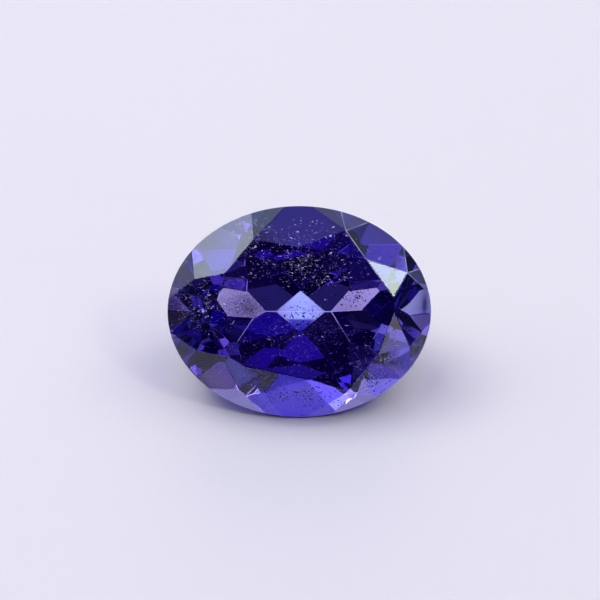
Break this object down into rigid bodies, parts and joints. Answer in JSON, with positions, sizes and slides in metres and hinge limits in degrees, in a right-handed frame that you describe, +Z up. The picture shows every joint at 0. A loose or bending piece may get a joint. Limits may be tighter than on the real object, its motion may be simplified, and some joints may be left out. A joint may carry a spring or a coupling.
{
  "type": "faceted oval iolite gemstone",
  "caption": "Oval faceted gemstone of clear violet-blue iolite, brilliant crown over a keeled pavilion, lying on a pavilion facet with its table facing forward.",
  "frame": {"origin": "centre of the bounding box in plan, on the surface that the stone lies on", "axes": "+X along the stone's long axis, to the right as seen from the front; +Y away from the viewer; +Z up; the table faces forward and up, tipped from +Z towards -Y by the front main facet's angle, about 44 degrees"},
  "size_m": [0.01, 0.0058, 0.0056],
  "materials": {
    "iolite": "polished transparent violet-blue iolite, ground girdle"
  },
  "bodies": {
    "root": {"stone": "iolite"}
  },
  "joints": []
}
